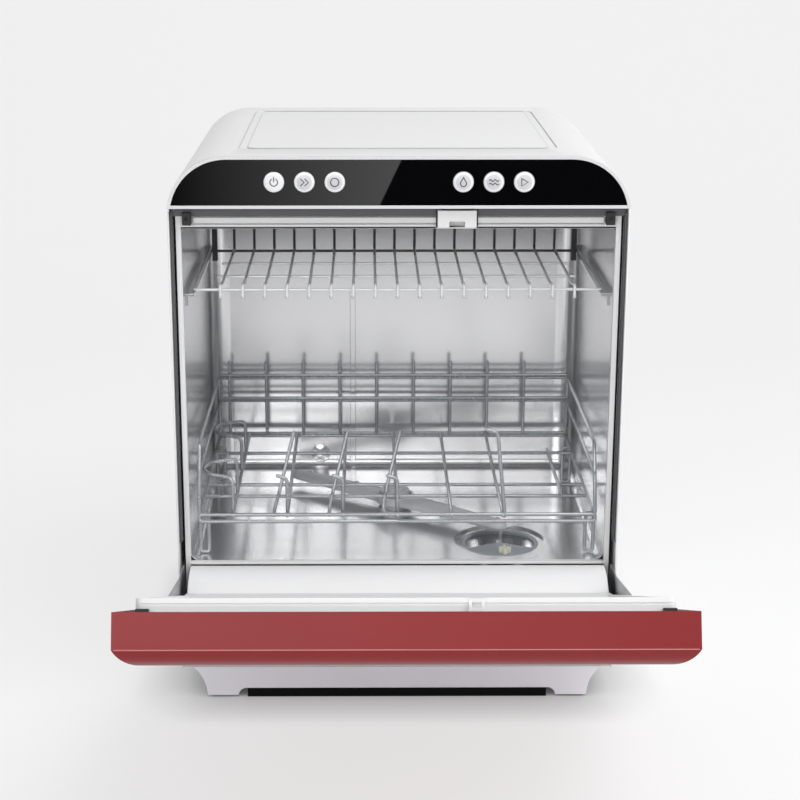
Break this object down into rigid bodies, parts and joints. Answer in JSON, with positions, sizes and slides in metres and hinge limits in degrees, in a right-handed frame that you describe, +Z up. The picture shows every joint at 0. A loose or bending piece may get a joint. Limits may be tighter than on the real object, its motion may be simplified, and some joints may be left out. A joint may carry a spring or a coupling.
{
  "type": "countertop dishwasher",
  "caption": "Countertop dishwasher: white cabinet with a black glass fascia, round buttons, a red drop-down door, a steel tub and wire racks.",
  "frame": {"origin": "on the table, on the cabinet's centre line, in the plane of the cabinet's front edge", "axes": "+X to the right seen from the front, +Y to the back, +Z up"},
  "size_m": [0.436, 0.7426, 0.528],
  "materials": {
    "white_enamel": "satin",
    "white_plastic": "satin",
    "plinth_plastic": "satin",
    "galvanised_steel": "dull",
    "stainless_steel": "brushed",
    "black_rubber": "matt",
    "grey_rubber": "matt",
    "black_glass": "gloss",
    "button_white": "satin",
    "red_panel": "satin gloss",
    "liner_white": "satin",
    "wire_coat": "nylon coated",
    "arm_grey": "satin",
    "filter_grey": "satin",
    "ivory_plastic": "satin",
    "dark_plastic": "matt",
    "circuit_board": "satin",
    "coil_copper": "satin",
    "bright_steel": "polished"
  },
  "bodies": {
    "cabinet": {"outer_shell": "white_enamel", "rear_panel": "galvanised_steel", "base_plinth": "plinth_plastic", "base_pan": "galvanised_steel", "rubber_feet": "black_rubber", "kick_panel": "white_plastic", "front_frame": "white_plastic", "door_gasket": "grey_rubber", "frame_stop_left": "black_rubber", "frame_stop_right": "black_rubber", "fascia_bezel": "white_plastic", "control_glass": "black_glass", "control_board": "circuit_board", "lock_housing": "white_plastic", "lock_solenoid": "coil_copper", "tub": "stainless_steel", "sump": "stainless_steel", "filter_basket": "filter_grey", "spray_hub": "arm_grey", "spray_nut": "arm_grey", "wash_pump_housing": "dark_plastic", "wash_pump_motor": "galvanised_steel", "flow_heater": "stainless_steel", "drain_pump": "dark_plastic", "sump_hose": "black_rubber", "spray_hose": "black_rubber", "drain_hose": "grey_rubber", "inlet_hose": "black_rubber", "inlet_valve": "white_plastic", "cord_gland": "dark_plastic", "terminal_block": "ivory_plastic", "wiring_loom": "dark_plastic", "hinge_bracket_left": "bright_steel", "hinge_bracket_right": "bright_steel", "hinge_pins": "bright_steel", "upper_rail_left": "arm_grey", "upper_rail_right": "arm_grey", "panel_screws": "bright_steel"},
    "door": {"door_panel": "red_panel", "door_liner": "liner_white", "door_frame": "galvanised_steel", "hinge_arm_left": "galvanised_steel", "hinge_arm_right": "galvanised_steel", "door_bumpers": "black_rubber", "strike_plate": "bright_steel"},
    "power_button": {"power_button": "button_white"},
    "quick_button": {"quick_button": "button_white"},
    "normal_button": {"normal_button": "button_white"},
    "strong_button": {"strong_button": "button_white"},
    "dry_button": {"dry_button": "button_white"},
    "start_button": {"start_button": "button_white"},
    "lock_bolt": {"lock_bolt": "bright_steel"},
    "filter_knob": {"filter_knob": "ivory_plastic"},
    "spray_arm": {"spray_arm": "arm_grey"},
    "wash_impeller": {"wash_impeller": "white_plastic"},
    "drain_impeller": {"drain_impeller": "white_plastic"},
    "upper_rack": {"upper_rack": "wire_coat", "rack_clips": "dark_plastic"},
    "lower_rack": {"lower_rack": "wire_coat", "rack_uprights": "wire_coat"}
  },
  "joints": [
    {"name": "door_hinge", "type": "hinge", "parent": "cabinet", "child": "door", "pos_m": [0, -0.008, 0.0925], "axis": [1, 0, 0], "range_deg": [-68, 22]},
    {"name": "power_button_press", "type": "slide", "parent": "cabinet", "child": "power_button", "axis": [0, 1, 0], "range_m": [0, 0.0015], "stiffness_N_per_m": 400, "springref_m": -0.001},
    {"name": "quick_button_press", "type": "slide", "parent": "cabinet", "child": "quick_button", "axis": [0, 1, 0], "range_m": [0, 0.0015], "stiffness_N_per_m": 400, "springref_m": -0.001},
    {"name": "normal_button_press", "type": "slide", "parent": "cabinet", "child": "normal_button", "axis": [0, 1, 0], "range_m": [0, 0.0015], "stiffness_N_per_m": 400, "springref_m": -0.001},
    {"name": "strong_button_press", "type": "slide", "parent": "cabinet", "child": "strong_button", "axis": [0, 1, 0], "range_m": [0, 0.0015], "stiffness_N_per_m": 400, "springref_m": -0.001},
    {"name": "dry_button_press", "type": "slide", "parent": "cabinet", "child": "dry_button", "axis": [0, 1, 0], "range_m": [0, 0.0015], "stiffness_N_per_m": 400, "springref_m": -0.001},
    {"name": "start_button_press", "type": "slide", "parent": "cabinet", "child": "start_button", "axis": [0, 1, 0], "range_m": [0, 0.0015], "stiffness_N_per_m": 400, "springref_m": -0.001},
    {"name": "lock_bolt_slide", "type": "slide", "parent": "cabinet", "child": "lock_bolt", "axis": [0, 0, -1], "range_m": [0, 0.004], "stiffness_N_per_m": 150, "springref_m": -0.002},
    {"name": "filter_knob_turn", "type": "hinge", "parent": "cabinet", "child": "filter_knob", "pos_m": [0.105, 0.041, 0.138], "axis": [0, 0, 1], "range_deg": [0, 90]},
    {"name": "spray_arm_spin", "type": "hinge", "parent": "cabinet", "child": "spray_arm", "pos_m": [0, 0.1585, 0.15], "axis": [0, 0, 1], "continuous": true},
    {"name": "wash_impeller_spin", "type": "hinge", "parent": "cabinet", "child": "wash_impeller", "pos_m": [0.06, 0.23, 0.073], "axis": [1, 0, 0], "continuous": true},
    {"name": "drain_impeller_spin", "type": "hinge", "parent": "cabinet", "child": "drain_impeller", "pos_m": [0.05, 0.068, 0.106], "axis": [1, 0, 0], "continuous": true},
    {"name": "upper_rack_slide", "type": "slide", "parent": "cabinet", "child": "upper_rack", "axis": [0, -1, 0], "range_m": [0, 0.12]},
    {"name": "lower_rack_slide", "type": "slide", "parent": "cabinet", "child": "lower_rack", "axis": [0, -1, 0], "range_m": [0, 0.09]}
  ]
}
